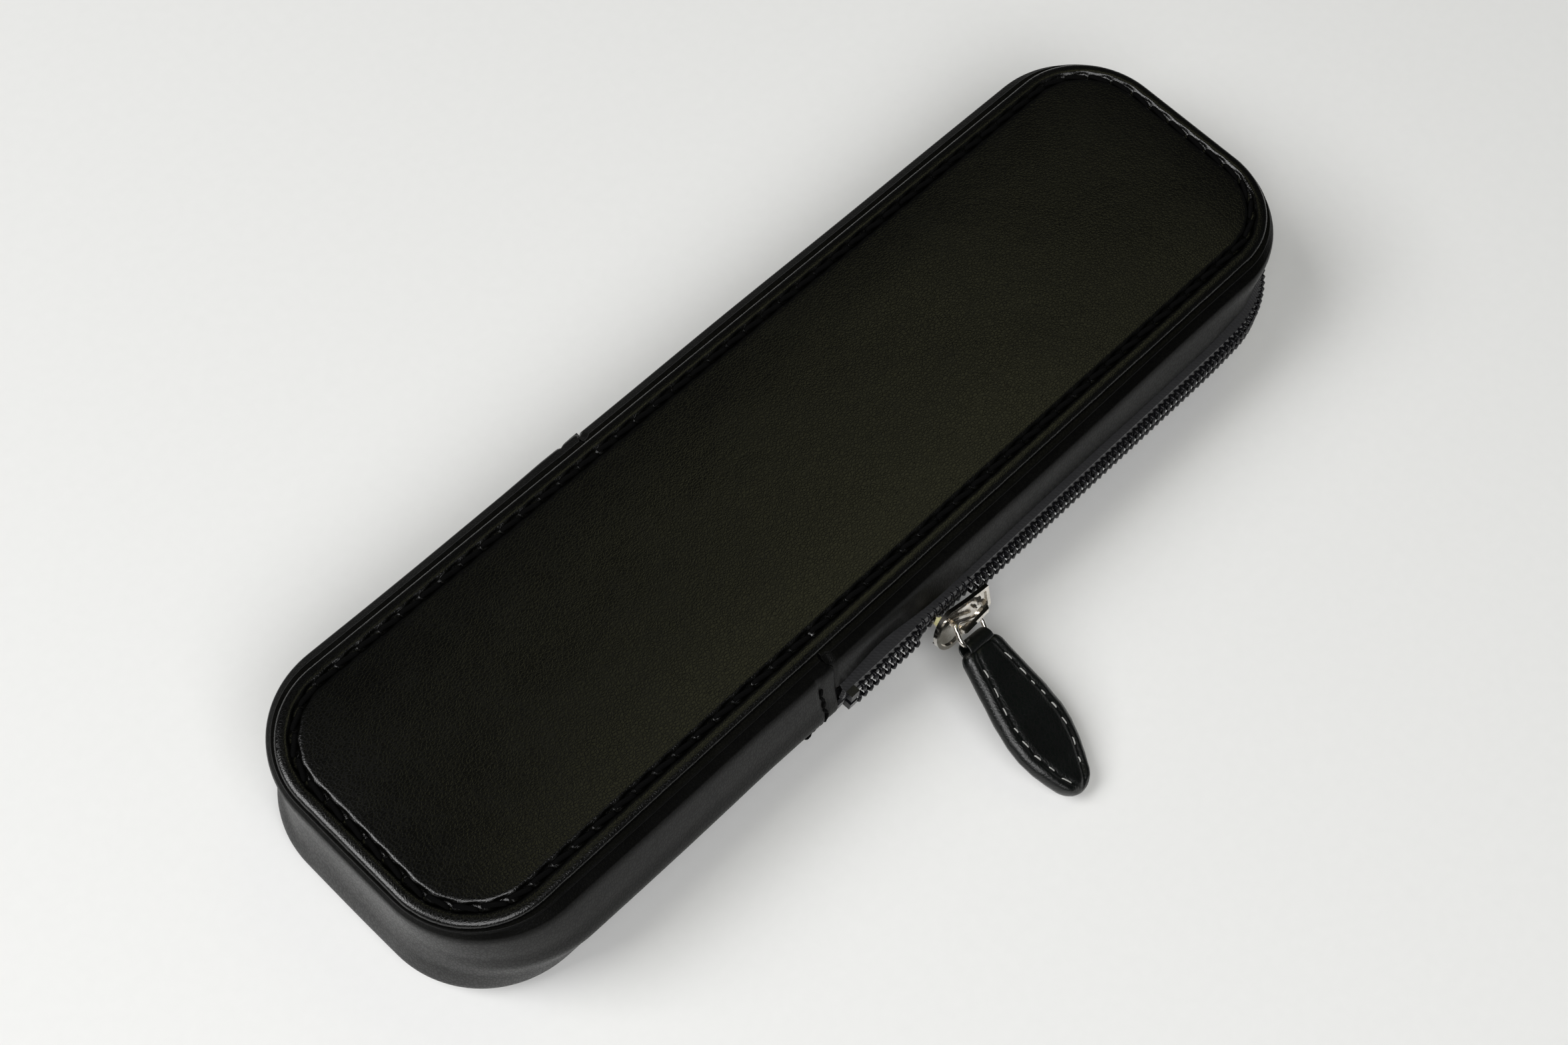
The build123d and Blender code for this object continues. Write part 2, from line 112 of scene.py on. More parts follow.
def half_loop(cut, end, side, way):
    """Points and normals of one level of the case, which bulges out by end and by side.

    It runs from the cut on the front round the end that way points to, and back to the cut on the back.
    """
    radius = max(CORNER + side, SMALLEST_CORNER)
    centre_x = LENGTH / 2 + end - radius
    centre_y = WIDTH / 2 + side - radius
    run = abs(way * (LENGTH / 2 - CORNER) - cut)
    steps = round((run - EDGE_STEPS[-1]) / STEP)
    along = np.concatenate([EDGE_STEPS[:-1], np.linspace(EDGE_STEPS[-1], run, steps + 1)]) / run
    x = cut + (way * centre_x - cut) * along
    turn = np.linspace(0, math.pi / 2, ARC_STEPS + 1)[1:]
    short = np.linspace(-1, 1, SHORT_STEPS + 1)[1:]
    flat = np.ones_like
    points = [
        (x, -(centre_y + radius) * flat(x)),
        (way * (centre_x + radius * np.sin(turn)), -(centre_y + radius * np.cos(turn))),
        (way * (centre_x + radius) * flat(short), centre_y * short),
        (way * (centre_x + radius * np.cos(turn)), centre_y + radius * np.sin(turn)),
        (x[::-1][1:], (centre_y + radius) * flat(x[1:])),
    ]
    normals = [
        (0 * x, -flat(x)),
        (way * np.sin(turn), -np.cos(turn)),
        (way * flat(short), 0 * short),
        (way * np.cos(turn), np.sin(turn)),
        (0 * x[1:], flat(x[1:])),
    ]
    return (np.concatenate([np.stack(piece, 1) for piece in pieces]) for pieces in (points, normals))


def full_loop(end, side):
    """One closed level, as the two half loops joined at the fold."""
    right = tuple(half_loop(FOLD_X, end, side, 1))
    left = tuple(half_loop(FOLD_X, end, side, -1))
    return (np.concatenate([way_out[:-1], way_back[::-1][:-1]]) for way_out, way_back in zip(right, left))


def distance_along(points):
    """Distance from the first point to each point of a line."""
    return np.concatenate([[0], np.cumsum(np.linalg.norm(np.diff(points, axis=0), axis=1))])


def bulge_at(z):
    """Smoothed end and side bulge of the wall at height z."""
    heights = z + np.linspace(-1, 1, 7) * BULGE_SMOOTHING
    heights = np.minimum(heights, HEIGHT - heights)
    return [float(np.mean(np.interp(heights, BULGE[:, 0], BULGE[:, column]))) for column in (1, 2)]


def smooth(low, high, value):
    """0 below low, 1 above high, and a smooth step between."""
    t = np.clip((value - low) / (high - low), 0, 1)
    return t * t * (3 - 2 * t)


def bump(centre, width, value):
    """A bell of height 1 at centre."""
    return np.exp(-(((value - centre) / width) ** 2))


# How far the wall is pressed in, and the places between which that comes on
TUCK_LEVELS = (3.0, 8.0)  # from the nearer panel's face
BACK_TUCK, BACK_TUCK_Y = 0.9, (5.0, 20.0)
CORNER_TUCK, CORNER_TUCK_X, CORNER_TUCK_Y = 1.1, (60.0, 82.0), (0.0, 14.0)


def tuck(x, y, z):
    """How far the wall is pressed in along the back and at the front of the end that opens."""
    level = smooth(*TUCK_LEVELS, np.minimum(z, HEIGHT - z))
    back = BACK_TUCK * smooth(*BACK_TUCK_Y, y)
    corner = CORNER_TUCK * smooth(*CORNER_TUCK_X, x) * smooth(*CORNER_TUCK_Y, -y)
    return level * (back + corner)


def handmade(x, y, z, seed):
    """A slow unevenness between about -1 and 1: three waves of unlike lengths, shifted by the seed."""
    return (
        np.sin(x / 17.3 + seed) * np.cos(y / 11.1 + 2.1 * seed)
        + 0.6 * np.sin(x / 7.9 + 1.7 * seed + y / 5.3)
        + 0.5 * np.cos(z / 3.7 + x / 12.7 - seed)
    ) / 1.6


# ---- meshes ----

WIRE_SIDES = 8


def make_mesh(name, points, faces):
    """A smooth-shaded object from points in millimetres."""
    mesh = bpy.data.meshes.new(name)
    mesh.from_pydata((np.asarray(points, float) * MM).tolist(), [], faces)
    mesh.validate()
    mesh.shade_smooth()
    thing = bpy.data.objects.new(name, mesh)
    bpy.context.scene.collection.objects.link(thing)
    return thing


def strip_faces(rows, columns, around, through):
    """Quads over a grid of points. around joins the last column to the first, through the last row."""
    row = np.arange(rows if through else rows - 1)
    column = np.arange(columns if around else columns - 1)
    r, c = np.meshgrid(row, column, indexing="ij")
    r2, c2 = (r + 1) % rows, (c + 1) % columns
    corners = [r * columns + c, r * columns + c2, r2 * columns + c2, r2 * columns + c]
    return np.stack([corner.ravel() for corner in corners], 1).tolist()


def loft(name, loops, around=False, through=False, ends=False):
    """A mesh over equal loops, as strip_faces joins them. ends closes the two mouths that are left."""
    rows, columns = len(loops), len(loops[0])
    faces = strip_faces(rows, columns, around, through)
    if ends and through:
        faces.append([row * columns for row in range(rows)])
        faces.append([row * columns + columns - 1 for row in reversed(range(rows))])
    if ends and around:
        faces.append(list(reversed(range(columns))))
        faces.append([(rows - 1) * columns + column for column in range(columns)])
    return make_mesh(name, np.concatenate(loops), faces)


def outward(thing, join=0.0):
    """Turn a closed mesh's faces to look outwards, after joining points closer than join."""
    work = bmesh.new()
    work.from_mesh(thing.data)
    if join:
        bmesh.ops.remove_doubles(work, verts=work.verts, dist=join * MM)
    bmesh.ops.recalc_face_normals(work, faces=work.faces)
    work.to_mesh(thing.data)
    work.free()
    return thing


def tube_rows(path, radii, twist_axis):
    """Rings of points round a path, with an oval section: radii across and along twist_axis."""
    path = np.asarray(path, float)
    tangents = np.gradient(path, axis=0)
    tangents /= np.linalg.norm(tangents, axis=1)[:, None]
    axis = np.asarray(twist_axis, float)
    second = axis - tangents * (tangents @ axis)[:, None]
    second /= np.linalg.norm(second, axis=1)[:, None]
    first = np.cross(tangents, second)
    angle = np.linspace(0, 2 * math.pi, WIRE_SIDES, endpoint=False)
    across, up = (np.broadcast_to(np.asarray(r, float), len(path)) for r in radii)
    return (
        path[:, None, :]
        + first[:, None, :] * (across[:, None] * np.cos(angle))[:, :, None]
        + second[:, None, :] * (up[:, None] * np.sin(angle))[:, :, None]
    )


def join_tubes(name, tubes):
    """One object from many closed-ended tubes, each an array of rings."""
    points, faces, start = [], [], 0
    for rings in tubes:
        rows, columns = rings.shape[:2]
        points.append(rings.reshape(-1, 3))
        made = strip_faces(rows, columns, True, False)
        made.append(list(reversed(range(columns))))
        made.append([(rows - 1) * columns + column for column in range(columns)])
        faces += [[start + corner for corner in face] for face in made]
        start += rows * columns
    return outward(make_mesh(name, np.concatenate(points), faces))


def stitch_tube(start, stop, up, radius, arch):
    """A sewn stitch: a short thread that rises from the leather at start and dives in again at stop."""
    start, stop, up = (np.asarray(v, float) for v in (start, stop, up))
    t = np.linspace(0, 1, 11)
    rise = arch * (1 - (2 * t - 1) ** 4) - 1.1 * arch * (np.abs(2 * t - 1) ** 12)
    path = start + (stop - start) * t[:, None] + up * rise[:, None]
    swell = radius * (0.72 + 0.28 * np.sin(math.pi * t) ** 0.5)
    return tube_rows(path, (swell, swell * 0.85), up)


# ---- materials ----


class Nodes:
    """A material's node tree with short ways to add and join nodes."""

    def __init__(self, name):
        self.material = bpy.data.materials.new(name)
        self.material.use_nodes = True
        self.tree = self.material.node_tree
        self.shader = next(n for n in self.tree.nodes if n.type == "BSDF_PRINCIPLED")
        self.place = self.add("ShaderNodeTexCoord").outputs["Object"]

    def add(self, kind, **settings):
        """Add a node; a setting that names an input sets or joins it, and any other is a property."""
        node = self.tree.nodes.new(kind)
        for key, value in settings.items():
            if hasattr(node, key) and key not in node.inputs:
                setattr(node, key, value)
            else:
                self.feed(node.inputs[key], value)
        return node

    def feed(self, socket, value):
        """Set an input to a value, or join it to an output."""
        if isinstance(value, bpy.types.NodeSocket):
            self.tree.links.new(value, socket)
        else:
            socket.default_value = value

    def scaled(self, x, y, z):
        """Row-frame position times a number of cells per millimetre along each axis."""
        mapping = self.add("ShaderNodeMapping", Vector=self.place)
        mapping.inputs["Scale"].default_value = (x / MM, y / MM, z / MM)
        return mapping.outputs["Vector"]

    def noise(self, place, detail=3.0, rough=0.55, warp=0.0):
        """Noise between about 0 and 1."""
        return self.add(
            "ShaderNodeTexNoise", Vector=place, Scale=1.0, Detail=detail, Roughness=rough, Distortion=warp
        ).outputs["Fac"]

    def cells(self, place):
        """Distance to the edges of random cells."""
        node = self.add("ShaderNodeTexVoronoi", Vector=place, Scale=1.0, feature="DISTANCE_TO_EDGE")
        return node.outputs["Distance"]

    def ramp(self, value, low, high, out_low=0.0, out_high=1.0):
        """Map a value's range low to high onto out_low to out_high, with smooth ends."""
        return self.add(
            "ShaderNodeMapRange",
            interpolation_type="SMOOTHSTEP",
            Value=value,
            **{"From Min": low, "From Max": high, "To Min": out_low, "To Max": out_high},
        ).outputs["Result"]

    def maths(self, operation, first, second=0.0):
        """One Math node."""
        node = self.add("ShaderNodeMath", operation=operation)
        self.feed(node.inputs[0], first)
        self.feed(node.inputs[1], second)
        return node.outputs[0]

    def weighed(self, share, first, second):
        """A sum of two values: share of the first, and the rest of the second."""
        rest = self.maths("MULTIPLY", second, 1 - share)
        return self.maths("ADD", self.maths("MULTIPLY", first, share), rest)

    def mix(self, share, first, second):
        """A colour between two colours."""
        node = self.add("ShaderNodeMix", data_type="RGBA")
        self.feed(node.inputs["Factor"], share)
        colours = [socket for socket in node.inputs if socket.type == "RGBA"]
        for socket, value in zip(colours, (first, second)):
            self.feed(socket, value)
        return next(socket for socket in node.outputs if socket.type == "RGBA")

    def bump(self, height, depth, normal=None, strength=1.0):
        """Bend the surface's normal by a height map; depth is in millimetres."""
        node = self.add("ShaderNodeBump", Height=height, Distance=depth * MM, Strength=strength)
        if normal is not None:
            self.feed(node.inputs["Normal"], normal)
        return node.outputs["Normal"]

    def finish(self, **sockets):
        """Set or join the shader's sockets and give the material."""
        for key, value in sockets.items():
            self.feed(self.shader.inputs[key.replace("_", " ")], value)
        return self.material


def rgb(red, green, blue):
    """A colour with full alpha."""
    return (red, green, blue, 1.0)


def leather(name, dark, light, roughness, grain, depth, stretch=(1.0, 1.0, 1.0), specular=0.5):
    """Grained leather: small pebbles with painted shade darkening the creases between, fine pores, and slow clouds
    of wear.

    grain is in pebbles per millimetre, stretched along each axis, and depth is the grain's in millimetres.
    """
    n = Nodes(name)
    fine = n.scaled(*(grain * s for s in stretch))
    warped = n.add("ShaderNodeVectorMath", operation="ADD")
    n.feed(warped.inputs[0], fine)
    n.feed(warped.inputs[1], n.add("ShaderNodeTexNoise", Vector=fine, Scale=0.6, Detail=2.0).outputs["Color"])
    pebbles = n.ramp(n.cells(warped.outputs[0]), 0.0, 0.22)
    small = n.noise(n.scaled(*(grain * 2.3 * s for s in stretch)), 3.0)
    broad = n.noise(n.scaled(0.045, 0.045, 0.045), 4.0, 0.6, 0.4)
    cloud = n.noise(n.scaled(0.21, 0.21, 0.21), 3.0)
    height = n.weighed(0.6, pebbles, small)
    worn = n.ramp(n.weighed(0.6, broad, cloud), 0.15, 0.85)
    tone = n.mix(worn, rgb(*dark), rgb(*light))
    # Painted shade: the creases between the pebbles are darkened to under half the leather's dark tone
    tone_and_painted_crease_shade = n.mix(pebbles, rgb(*(0.45 * c for c in dark)), tone)
    rub = n.ramp(worn, 0.0, 1.0, roughness - 0.03, roughness + 0.04)
    shine = n.maths("ADD", rub, n.ramp(pebbles, 0.0, 1.0, 0.08, 0.0))
    normal = n.bump(broad, 0.5, strength=0.25)
    normal = n.bump(height, depth, normal)
    return n.finish(
        Base_Color=tone_and_painted_crease_shade,
        Roughness=shine,
        Normal=normal,
        Specular_IOR_Level=specular,
    )


def woven(name, dark, light, threads):
    """A tight weave with slubs; threads is how many there are to a millimetre."""
    n = Nodes(name)
    place = n.add("ShaderNodeSeparateXYZ", Vector=n.scaled(threads, threads, threads))
    level = n.maths("ADD", place.outputs["X"], n.maths("MULTIPLY", place.outputs["Y"], 0.83))
    warp = n.maths("SINE", n.maths("MULTIPLY", level, 2 * math.pi))
    weft = n.maths("SINE", n.maths("MULTIPLY", place.outputs["Z"], 2 * math.pi))
    height = n.maths("MULTIPLY", n.maths("ADD", n.maths("MULTIPLY", warp, weft), 1.0), 0.5)
    slub = n.noise(n.scaled(0.9, 0.9, 0.9), 3.0)
    return n.finish(
        Base_Color=n.mix(n.weighed(0.6, height, slub), rgb(*dark), rgb(*light)),
        Roughness=n.ramp(slub, 0.3, 0.7, 0.77, 0.93),
        Normal=n.bump(height, 0.06),
        Sheen_Weight=0.3,
        Sheen_Roughness=0.5,
    )


def napped(name, dark, light):
    """Suede: a short nap brushed in patches, with fine fibre noise."""
    n = Nodes(name)
    patch = n.noise(n.scaled(0.06, 0.1, 0.1), 4.0, 0.6, 1.2)
    fibre = n.noise(n.scaled(3.2, 3.2, 3.2), 4.0, 0.7)
    share = n.maths("ADD", n.ramp(patch, 0.35, 0.65, 0.0, 0.65), n.maths("MULTIPLY", fibre, 0.35))
    return n.finish(
        Base_Color=n.mix(share, rgb(*dark), rgb(*light)),
        Roughness=n.ramp(fibre, 0.3, 0.7, 0.88, 0.98),
        Normal=n.bump(fibre, 0.12),
        Sheen_Weight=0.5,
        Sheen_Roughness=0.4,
    )


def thread(name, dark, light, roughness):
    """Twisted sewing thread: slanted strands with loose fibres."""
    n = Nodes(name)
    strands = n.add(
        "ShaderNodeTexWave",
        Vector=n.scaled(3.2, 3.2, 3.2),
        Scale=1.0,
        Distortion=1.2,
        Detail=2.0,
        bands_direction="DIAGONAL",
    ).outputs["Fac"]
    fuzz = n.noise(n.scaled(5.0, 5.0, 5.0), 3.0)
    return n.finish(
        Base_Color=n.mix(n.weighed(0.7, strands, fuzz), rgb(*dark), rgb(*light)),
        Roughness=n.ramp(fuzz, 0.3, 0.7, roughness - 0.1, roughness + 0.1),
        Normal=n.bump(strands, 0.05),
        Specular_IOR_Level=0.06,
    )


def nylon(name):
    """Glossy nylon with faint drawn lines and wear."""
    n = Nodes(name)
    wear = n.noise(n.scaled(0.35, 0.35, 0.35), 3.0)
    lines = n.noise(n.scaled(0.8, 0.8, 6.0), 2.0)
    return n.finish(
        Base_Color=n.mix(wear, rgb(0.003, 0.003, 0.004), rgb(0.01, 0.01, 0.012)),
        Roughness=n.ramp(wear, 0.3, 0.7, 0.16, 0.3),
        Normal=n.bump(lines, 0.02),
        Specular_IOR_Level=0.25,
    )


def nickel(name):
    """Tumbled nickel plate: warm and bright in patches, with hairline scratches and small dents."""
    n = Nodes(name)
    dull = n.noise(n.scaled(0.7, 0.7, 0.7), 4.0, 0.65)
    scratches = n.noise(n.scaled(2.0, 9.0, 14.0), 3.0, 0.7, 0.6)
    dents = n.noise(n.scaled(1.3, 1.3, 1.3), 2.0)
    rub = n.ramp(scratches, 0.5, 0.75, 0.0, 0.08)
    return n.finish(
        Base_Color=n.mix(n.ramp(dull, 0.35, 0.7), rgb(0.62, 0.58, 0.52), rgb(0.88, 0.85, 0.8)),
        Metallic=1.0,
        Roughness=n.maths("ADD", n.ramp(dull, 0.3, 0.7, 0.16, 0.08), rub),
        Normal=n.bump(scratches, 0.002, n.bump(dents, 0.015)),
    )


def card(name):
    """Grey-brown pressed fibre board."""
    n = Nodes(name)
    fibre = n.noise(n.scaled(0.9, 1.9, 3.1), 5.0, 0.7, 0.8)
    fleck = n.ramp(n.cells(n.scaled(0.8, 1.1, 1.5)), 0.0, 0.12)
    tone = n.mix(fibre, rgb(0.3, 0.27, 0.22), rgb(0.52, 0.48, 0.4))
    return n.finish(
        Base_Color=n.mix(fleck, rgb(0.24, 0.2, 0.16), tone),
        Roughness=0.9,
        Normal=n.bump(fibre, 0.08),
    )


def paper(name):
    """The pale floor: an even sheet with the faintest tooth."""
    n = Nodes(name)
    tooth = n.noise(n.scaled(0.5, 0.5, 0.5), 4.0)
    return n.finish(
        Base_Color=n.mix(tooth, rgb(0.8, 0.8, 0.79), rgb(0.83, 0.83, 0.82)),
        Roughness=0.75,
        Normal=n.bump(tooth, 0.02),
    )


# The material of each of the record's slots, made under the slot's own name
SLOT_MATERIALS = {
    "panel_leather": leather(
        "panel_leather",
        dark=(0.0006, 0.0006, 0.0004),
        light=(0.0016, 0.0016, 0.001),
        roughness=0.2,
        grain=2.1,
        depth=0.017,
        stretch=(0.8, 1.25, 1.0),
    ),
    "wall_leather": leather(
        "wall_leather",
        dark=(0.0015, 0.0015, 0.0013),
        light=(0.004, 0.004, 0.0035),
        roughness=0.32,
        grain=1.9,
        depth=0.014,
        stretch=(1.25, 1.25, 0.42),
        specular=0.09,
    ),
    "pull_leather": leather(
        "pull_leather",
        dark=(0.0006, 0.001, 0.0007),
        light=(0.0012, 0.0028, 0.002),
        roughness=0.3,
        grain=1.5,
        depth=0.02,
    ),
    "black_thread": thread("black_thread", (0.0008, 0.0008, 0.0008), (0.003, 0.003, 0.003), 0.8),
    "white_thread": thread("white_thread", (0.3, 0.3, 0.29), (0.6, 0.6, 0.57), 0.7),
    "zip_tape": woven("zip_tape", (0.004, 0.004, 0.005), (0.016, 0.016, 0.018), 1.6),
    "nylon_coil": nylon("nylon_coil"),
    "nickel": nickel("nickel"),
    "card": card("card"),
    "suede_lining": napped("suede_lining", (0.07, 0.062, 0.05), (0.17, 0.155, 0.13)),
    "divider_suede": napped("divider_suede", (0.06, 0.053, 0.042), (0.15, 0.135, 0.11)),
}


def dress(thing, slot):
    """Give a piece the material of one of the record's slots."""
    thing.data.materials.clear()
    thing.data.materials.append(SLOT_MATERIALS[slot])
    return thing


def bend_with_lid(thing):
    """Bake a piece's placement into its points; nothing here bends it where the lid folds."""
    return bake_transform(thing)


# ---- panels ----

# Section of a panel from the middle of its underside, round its edge, to the middle of its face: inset from
# the edge, depth below its face
PANEL_UNDER = [(22.97, 1.38), (18.0, 1.38), (12.0, 1.38), (6.0, 1.38), (2.0, 1.38), (0.4, 1.38)]
PANEL_EDGE = [(0.06, 1.28), (0.0, 1.0), (0.03, 0.6), (0.15, 0.3), (0.4, 0.1), (0.8, 0.02), (1.3, 0.0)]
PANEL_MIDDLE = [3.8, 4.4, 5.2, 6.2, 7.6, 9.2, 11.0, 12.8, 14.6, 16.4, 18.2, 20.0, 21.6, 22.97]
# Half of the sewn groove: distance from the seam, depth
PANEL_GROOVE = [(-0.98, 0.02), (-0.74, 0.12), (-0.6, 0.4), (-0.34, 0.62), (0.0, 0.68)]
GROOVE_FULL = 0.5  # depth from which a loop counts as wholly in the groove
GROOVE_WAVER = 0.2
HOLE_DEPTH, HOLE_WIDTH = 0.3, 0.34  # at the needle's holes

PILLOW, PILLOW_WIDTH = 0.45, 13.0  # how far the face falls towards its edge, and over what distance
SAG, SAG_INSET = 0.035, 4.0  # how far the face sinks unevenly, and the inset where it does so fully
SKIN_GAP = 0.04  # between the skin and the CAD's face
SAG_ABOVE, PILLOW_ABOVE = 1.3, 1.0  # loops at these depths or deeper do neither
JOIN = 0.065  # points of a panel closer than this become one

THREAD_DEPTH, THREAD_RADIUS, THREAD_ARCH = 0.76, 0.4, 0.14
THREAD_SLANT, THREAD_SLANT_SPREAD = 0.24, 0.06
THREAD_SHARE = (0.06, 0.94)  # the share of its pitch where a stitch starts and stops
LOOK_AHEAD = 0.2  # over which the seam's direction is taken


def seam_line():
    """The closed line of the panels' seam."""
    points = next(full_loop(-SEAM_INSET, -SEAM_INSET))
    return np.vstack([points, points[:1]])


SEAM = seam_line()
SEAM_ALONG = distance_along(SEAM)
SEAM_STITCHES = round(SEAM_ALONG[-1] / STITCH_PITCH)
SEAM_PITCH = SEAM_ALONG[-1] / SEAM_STITCHES


def panel_section():
    """Inset, depth and groove share of each loop of a panel."""
    rows = [(inset, depth, 0.0) for inset, depth in PANEL_UNDER + PANEL_EDGE]
    sides = PANEL_GROOVE + [(-offset, depth) for offset, depth in PANEL_GROOVE[-2::-1]]
    rows += [(SEAM_INSET + offset, depth, smooth(0.0, GROOVE_FULL, depth)) for offset, depth in sides]
    return rows + [(inset, 0.0, 0.0) for inset in PANEL_MIDDLE]


def close_loop(first_point, columns):
    """Faces that close a panel's innermost loop, with quads across each half of the case."""
    faces = []
    right = len(next(half_loop(FOLD_X, 0, 0, 1)))
    for first, count in ((0, right), (right - 1, columns - right + 2)):
        for step in range((count - 1) // 2):
            corners = (step, step + 1, count - 2 - step, count - 1 - step)
            quad = list(dict.fromkeys(first_point + (first + corner) % columns for corner in corners))
            if len(quad) > 2:
                faces.append(quad)
    return faces


def panel(name, face, up, seed):
    """A panel leather whose face is at height face and looks up or down, with its sunk seam."""
    loops = []
    phase = 2 * math.pi * SEAM_ALONG[:-1] / SEAM_PITCH
    for inset, depth, groove in panel_section():
        points, normals = full_loop(-inset, -inset)
        points = points + normals * (GROOVE_WAVER * groove * np.sin(phase))[:, None]
        from_hole = np.sin(phase / 2) * SEAM_PITCH / math.pi
        hole = HOLE_DEPTH * groove * np.exp(-((from_hole / HOLE_WIDTH) ** 2))
        uneven = handmade(points[:, 0], points[:, 1], 0.0, seed)
        sink = SAG * (uneven - np.abs(uneven)) * min(1.0, inset / SAG_INSET) if depth < SAG_ABOVE else 0.0
        sink -= PILLOW * max(0.0, 1 - inset / PILLOW_WIDTH) ** 2 * (depth < PILLOW_ABOVE)
        z = face - up * (depth + hole + SKIN_GAP - sink)
        loops.append(np.column_stack([points, z * np.ones(len(points))]))
    columns = len(loops[0])
    faces = strip_faces(len(loops), columns, True, False)
    faces += close_loop(0, columns) + close_loop((len(loops) - 1) * columns, columns)
    return outward(make_mesh(name, np.concatenate(loops), faces), JOIN)


def seam_thread(name, face, up, seed):
    """The stitches that lie in a panel's groove."""
    random = np.random.default_rng(seed)

    def at(distance, shift):
        x, y = (np.interp(distance % SEAM_ALONG[-1], SEAM_ALONG, SEAM[:, k]) for k in (0, 1))
        ahead = (distance + LOOK_AHEAD) % SEAM_ALONG[-1]
        x2, y2 = (np.interp(ahead, SEAM_ALONG, SEAM[:, k]) for k in (0, 1))
        way = np.array([x2 - x, y2 - y]) / math.hypot(x2 - x, y2 - y)
        return np.array([x + way[1] * shift, y - way[0] * shift, face - up * THREAD_DEPTH])

    stitches = []
    for number in range(SEAM_STITCHES):
        slant = THREAD_SLANT + random.uniform(-THREAD_SLANT_SPREAD, THREAD_SLANT_SPREAD)
        start, stop = ((number + share) * SEAM_PITCH for share in THREAD_SHARE)
        ends = (at(start, -slant), at(stop, slant))
        stitches.append(stitch_tube(*ends, (0, 0, up), THREAD_RADIUS, THREAD_ARCH))
    return join_tubes(name, stitches)


top_leather = dress(panel("top_leather", HEIGHT, 1, 0.7), "panel_leather")
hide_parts("top_leather_fixed", "top_leather_lid", "fold_leather")
bend_with_lid(top_leather)

bottom_leather = dress(panel("bottom_leather_skin", 0.0, -1, 2.3), "panel_leather")
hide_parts("bottom_leather")
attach(bottom_leather, "case_base")

top_stitches = dress(seam_thread("top_seam", HEIGHT, 1, 11), "black_thread")
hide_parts("top_seam_thread_fixed", "top_seam_thread_lid")
bend_with_lid(top_stitches)

bottom_stitches = dress(seam_thread("bottom_seam", 0.0, -1, 12), "black_thread")
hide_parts("bottom_seam_thread")
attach(bottom_stitches, "case_base")

# ---- side walls ----

BEAD_RADIUS = 0.28  # of the rolled bead along the wall's shoulder
BEAD_BULGE, BEAD_DROP = 0.72, 0.3  # where the bead's middle is: bulge, and depth under the panel
END_SHARE = 0.3  # the shoulder's bulge at the ends, as a share of that at the sides
FLANGE = 4.5
FLANGE_DROP = 2.35  # from the case's face to the flange's inner side
# Heights of the wall's rows: of every wall, of the gusset below those, and of the gusset's inside
WALL_HEIGHTS = [22.6, 22.3, 21.9, 21.4, 20.8, 20.1, 19.3, 18.5, 17.8, 17.2, 16.8, 16.5]
GUSSET_HEIGHTS = [15.8, 15.0, 14.2, 13.3, MIDDLE]
INNER_HEIGHTS = [3.0, 4.5, 6.5, 9.0, MIDDLE]
INNER_DROP = 3.2  # from the case's face to the top of the strip's inside
EDGE_ROLL = 7  # rows round the strip's rolled edge


def shoulder():
    """The wall's top, from inside the case out to its shoulder: rows of end bulge, side bulge, height."""
    under = HEIGHT - PANEL_LEATHER
    bead = []
    for a in np.linspace(math.radians(100), math.radians(-50), 7):
        bead.append((BEAD_BULGE + BEAD_RADIUS * math.cos(a), under - BEAD_DROP + BEAD_RADIUS * math.sin(a)))
    rows = [(-FLANGE, under - 0.05), (-1.0, under - 0.04), (0.3, under - 0.03), *bead, (0.98, under - 0.62)]
    return [(side * (END_SHARE if side > 0 else 1), side, z) for side, z in rows]


def wall_row(z, inset=0.0):
    """End bulge, side bulge and height of a point of the wall."""
    end, side = bulge_at(z)
    return (end - inset, side - inset, z)


def strip_section():
    """Closed section of the upper leather strip: the shoulder, the wall, the rolled edge and the inside."""
    rows = shoulder() + [wall_row(z) for z in WALL_HEIGHTS]
    radius = WALL_LEATHER / 2
    edge = HEIGHT - STRIP_TOP + radius
    end, side = bulge_at(edge)
    for turn in np.linspace(0, math.pi, EDGE_ROLL):
        inset = radius - radius * math.cos(turn)
        rows.append((end - inset, side - inset, edge - radius * math.sin(turn)))
    rows += [wall_row(z, WALL_LEATHER) for z in reversed(WALL_HEIGHTS) if edge < z < HEIGHT - INNER_DROP]
    return rows + [(-FLANGE, -FLANGE, HEIGHT - FLANGE_DROP)]


def gusset_section():
    """Closed section of the gusset: both shoulders, the wall between, and the inside."""
    upper = shoulder() + [wall_row(z) for z in WALL_HEIGHTS + GUSSET_HEIGHTS]
    lower = [(end, side, HEIGHT - z) for end, side, z in reversed(upper[:-1])]
    inner = [wall_row(z, WALL_LEATHER) for z in INNER_HEIGHTS]
    inner += [(end, side, HEIGHT - z) for end, side, z in reversed(inner[:-1])]
    return upper + lower + [(-FLANGE, -FLANGE, FLANGE_DROP), *inner, (-FLANGE, -FLANGE, HEIGHT - FLANGE_DROP)]


STRIP_UNDER = 0.7  # how far the strips reach in under the gusset's edge
STRIP_DIVE, STRIP_DIVE_WIDTH = 0.35, 0.5  # how far they dip there, and over what distance they rise
STRIP_UNEVEN = 0.1
FREE_HEIGHTS = (16.5, 21.0)  # the strip's edge is free at the first and held by the shoulder at the second
DENT_X, DENT_WIDTH, DENT_DEPTH = -11.0, 6.5, 0.75  # where the upper strip is pressed in
EDGE_SWAY, EDGE_WAVE = 0.12, 0.12  # of the free edge, in and out and up and down


